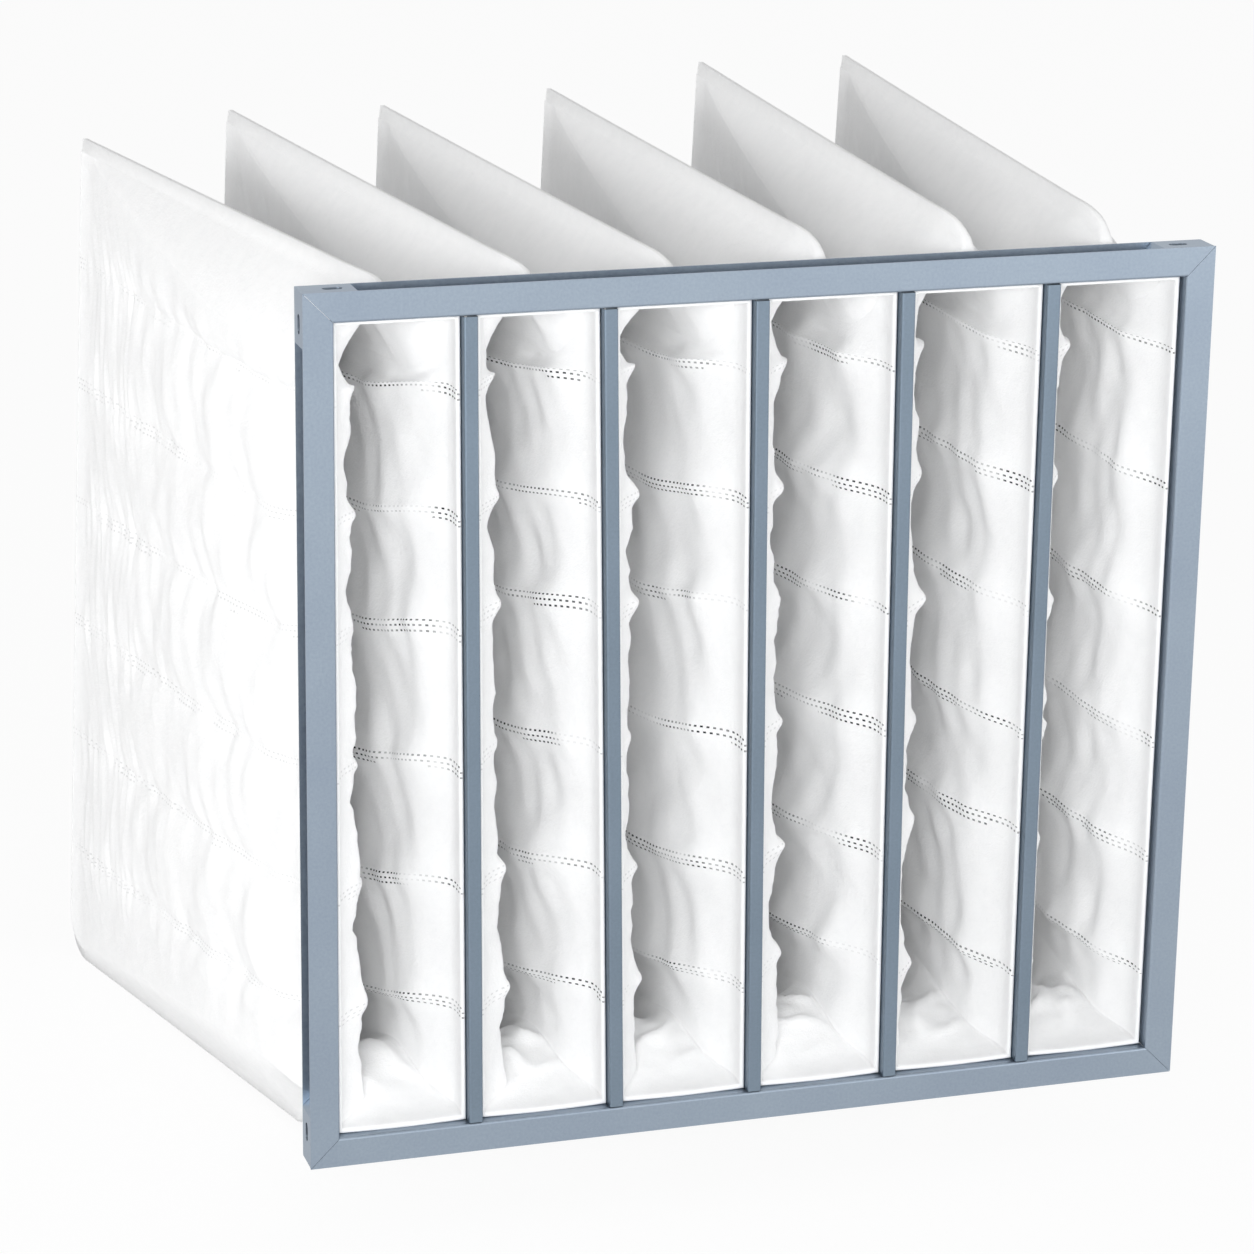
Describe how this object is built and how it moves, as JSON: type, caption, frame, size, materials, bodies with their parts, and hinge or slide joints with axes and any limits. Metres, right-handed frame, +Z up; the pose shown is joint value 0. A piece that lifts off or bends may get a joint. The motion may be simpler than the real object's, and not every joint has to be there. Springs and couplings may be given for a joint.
{
  "type": "bag air filter",
  "caption": "Pocket air filter: white stitched wadding bags fan out behind a flat mitred galvanised steel header with upright divider bars.",
  "frame": {"origin": "middle of the footprint of the whole filter, at the height of the lowest bag corner; the header's centre is at x 0.0323, z 0.3399 and its front face is at y -0.2750", "axes": "+Y is the way the air flows, from the header's front face towards the bags' rear seams; +Z is up; the header's face is square to Y"},
  "size_m": [0.6846, 0.55, 0.6784],
  "materials": {
    "galvanised_steel": "smooth galvanised sheet, satin",
    "spring_wire": "drawn wire",
    "filter_wadding": "white non-woven polyester, matt"
  },
  "bodies": {
    "root": {"header_top": "galvanised_steel", "header_bottom": "galvanised_steel", "header_left": "galvanised_steel", "header_right": "galvanised_steel", "corner_key_top_left": "galvanised_steel", "corner_key_top_right": "galvanised_steel", "corner_key_bottom_left": "galvanised_steel", "corner_key_bottom_right": "galvanised_steel", "divider_bar_1": "galvanised_steel", "divider_bar_2": "galvanised_steel", "divider_bar_3": "galvanised_steel", "divider_bar_4": "galvanised_steel", "divider_bar_5": "galvanised_steel", "mouth_wire_1": "spring_wire", "mouth_wire_2": "spring_wire", "mouth_wire_3": "spring_wire", "mouth_wire_4": "spring_wire", "mouth_wire_5": "spring_wire", "mouth_wire_6": "spring_wire", "pocket_1": "filter_wadding", "pocket_2": "filter_wadding", "pocket_3": "filter_wadding", "pocket_4": "filter_wadding", "pocket_5": "filter_wadding", "pocket_6": "filter_wadding"}
  },
  "joints": []
}
